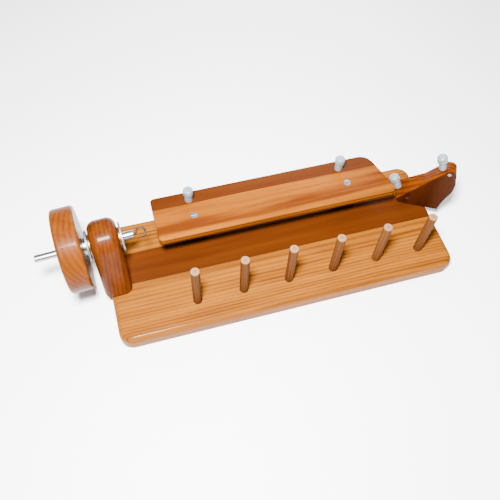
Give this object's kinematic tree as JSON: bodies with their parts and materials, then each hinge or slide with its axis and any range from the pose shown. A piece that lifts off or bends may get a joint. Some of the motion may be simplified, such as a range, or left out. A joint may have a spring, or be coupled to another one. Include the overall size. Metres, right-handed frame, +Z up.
{
  "type": "hand-cranked loom",
  "caption": "Oak bench loom with a hand wheel that turns a wire hook, a raised laying board, upright spool pegs and a swing arm.",
  "frame": {"origin": "centre of the base's underside", "axes": "+X along the base from the hand wheel to the swing arm, +Y from the peg side to the back, +Z up"},
  "size_m": [0.4618, 0.143, 0.11],
  "materials": {
    "light_oak": "satin varnish",
    "red_oak": "gloss varnish",
    "dark_wood": "gloss varnish",
    "peg_dowel": "bare sanded",
    "steel": "turned",
    "black_steel": "oiled black",
    "bronze": "machined",
    "white_nylon": "satin"
  },
  "bodies": {
    "frame": {"base_front_board": "light_oak", "base_middle_strip": "dark_wood", "base_rear_board": "light_oak", "spool_peg_1": "peg_dowel", "spool_peg_2": "peg_dowel", "spool_peg_3": "peg_dowel", "spool_peg_4": "peg_dowel", "spool_peg_5": "peg_dowel", "spool_peg_6": "peg_dowel", "upright": "red_oak", "left_bushing": "bronze", "right_bushing": "bronze", "upright_screws": "steel", "laying_board": "light_oak", "laying_board_edge": "dark_wood", "board_post_left": "red_oak", "board_post_right": "red_oak", "board_screws": "steel", "post_screws": "steel", "edge_wire_post_left": "white_nylon", "edge_wire_post_right": "white_nylon", "arm_washer": "white_nylon", "arm_pivot_screw": "steel"},
    "spindle": {"drive_shaft": "steel", "hand_wheel": "red_oak", "wheel_collar": "steel", "collar_set_screw": "black_steel", "left_washer": "steel", "right_washer": "steel", "wire_hook": "black_steel"},
    "arm": {"swing_arm": "dark_wood", "arm_wire_post_inner": "white_nylon", "arm_wire_post_tip": "white_nylon", "arm_set_screws": "steel"}
  },
  "joints": [
    {"name": "shaft_spin", "type": "hinge", "parent": "frame", "child": "spindle", "pos_m": [-0.18052, 0.02329, 0.066], "axis": [0.9986, 0.0523, 0], "continuous": true},
    {"name": "arm_swing", "type": "hinge", "parent": "frame", "child": "arm", "pos_m": [0.16572, 0.02479, 0.029], "axis": [0, 0, 1], "range_deg": [-45, 30]}
  ]
}
